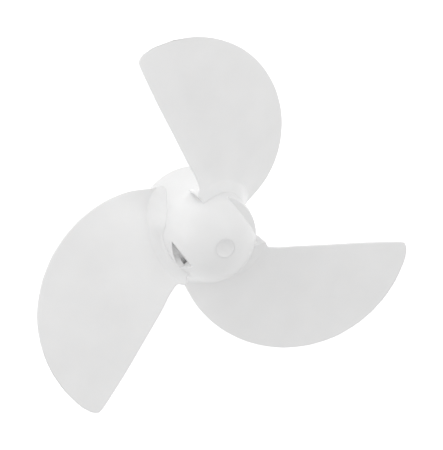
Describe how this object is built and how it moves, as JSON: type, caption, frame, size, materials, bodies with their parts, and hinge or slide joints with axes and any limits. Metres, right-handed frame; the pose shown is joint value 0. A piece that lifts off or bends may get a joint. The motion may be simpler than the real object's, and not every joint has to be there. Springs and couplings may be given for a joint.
{
  "type": "boat propeller",
  "caption": "White moulded boat propeller: round-nosed hub, broad thin twisted blades on pegged feet, and a rubber-cushioned drive sleeve for a plain shaft and shear pin.",
  "frame": {"origin": "on the shaft axis, in the plane of the hub's front face, which is where the shaft enters the drive sleeve", "axes": "+Z along the shaft axis towards the nose, which points aft on the boat; +Y along the middle of blade_1"},
  "size_m": [0.1557, 0.1699, 0.045],
  "materials": {
    "white_plastic": "satin moulded",
    "stainless": "bright",
    "acetal": "natural acetal",
    "bronze": "machined",
    "rubber": "matt"
  },
  "bodies": {
    "drive": {"drive_sleeve": "bronze", "rubber_bush": "rubber"},
    "propeller": {"hub_shell": "white_plastic", "blade_1": "white_plastic", "blade_2": "white_plastic", "blade_3": "white_plastic", "nose_plug": "white_plastic", "front_ring": "white_plastic", "ring_screws": "stainless", "blade_dowels": "stainless", "circlip": "stainless", "front_bearing": "acetal", "rear_bearing": "acetal", "thrust_washer": "bronze"}
  },
  "joints": [
    {"name": "hub_slip", "type": "hinge", "parent": "drive", "child": "propeller", "pos_m": [0, 0, 0.017], "axis": [0, 0, 1], "continuous": true}
  ]
}
